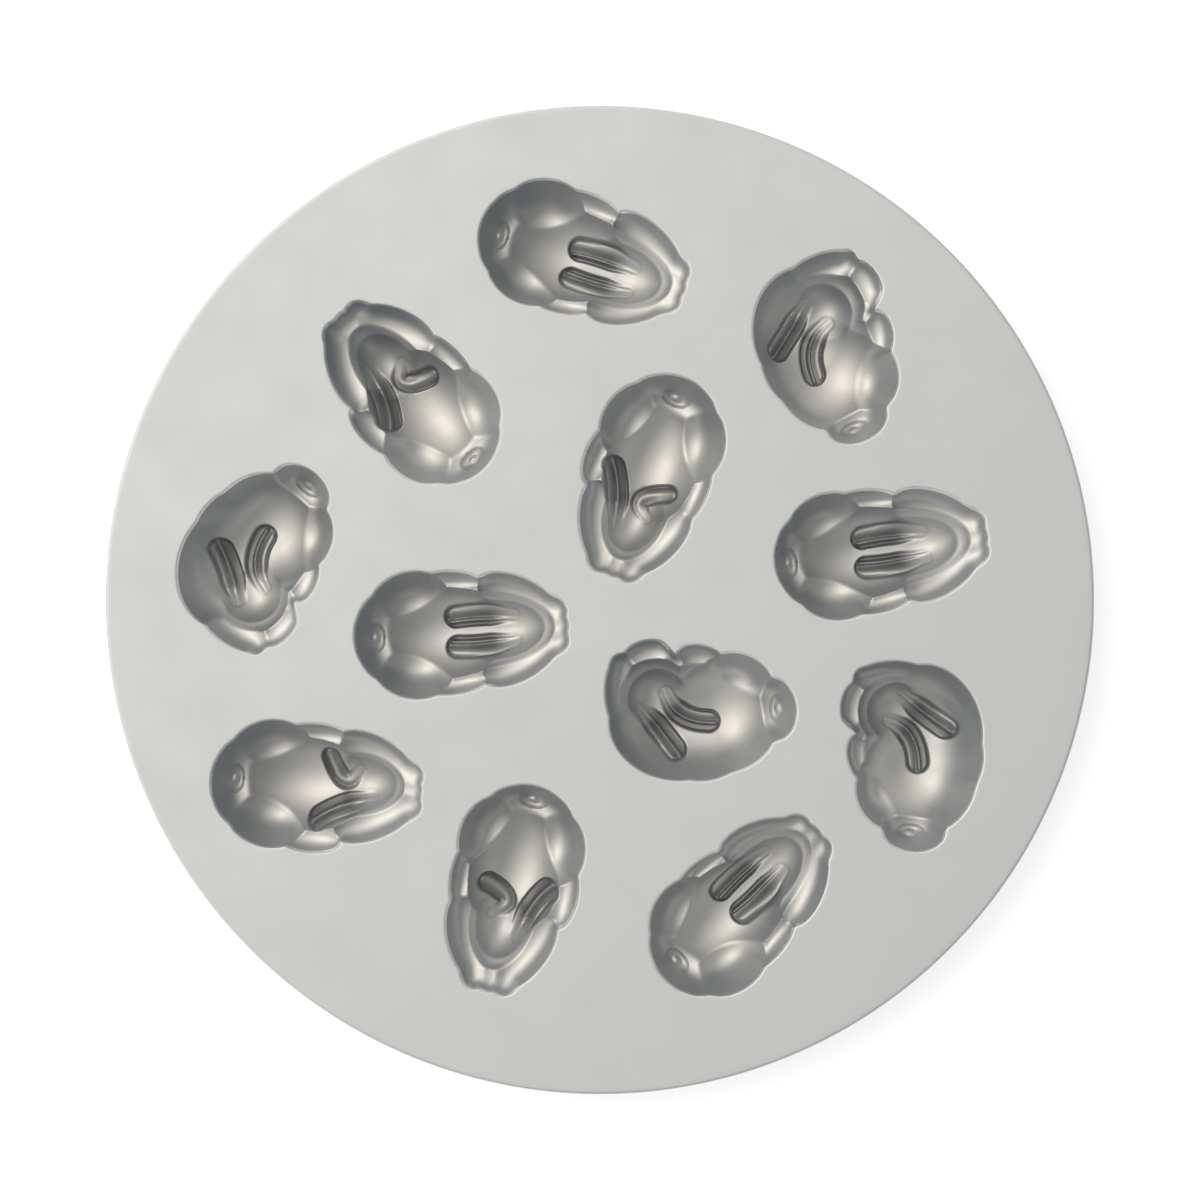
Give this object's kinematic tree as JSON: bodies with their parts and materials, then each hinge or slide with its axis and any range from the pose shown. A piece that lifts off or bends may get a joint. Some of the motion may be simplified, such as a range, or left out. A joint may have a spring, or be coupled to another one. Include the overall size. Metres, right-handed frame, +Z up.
{
  "type": "cake pan",
  "caption": "Round cast aluminium cake pan whose flat plate carries small bunny-shaped cups for baking cakes.",
  "frame": {"origin": "middle of the pan's footprint, on the surface that it rests on", "axes": "+Z up out of the cups' mouths, +Y towards the side of the plate that is up in the view from above"},
  "size_m": [0.305, 0.305, 0.024],
  "materials": {
    "plate": "fine satin, pale silver grey",
    "cups": "smooth cast, glossy, mid silver grey"
  },
  "bodies": {
    "root": {"plate": "plate", "cup_01": "cups", "cup_02": "cups", "cup_03": "cups", "cup_04": "cups", "cup_05": "cups", "cup_06": "cups", "cup_07": "cups", "cup_08": "cups", "cup_09": "cups", "cup_10": "cups", "cup_11": "cups", "cup_12": "cups"}
  },
  "joints": []
}
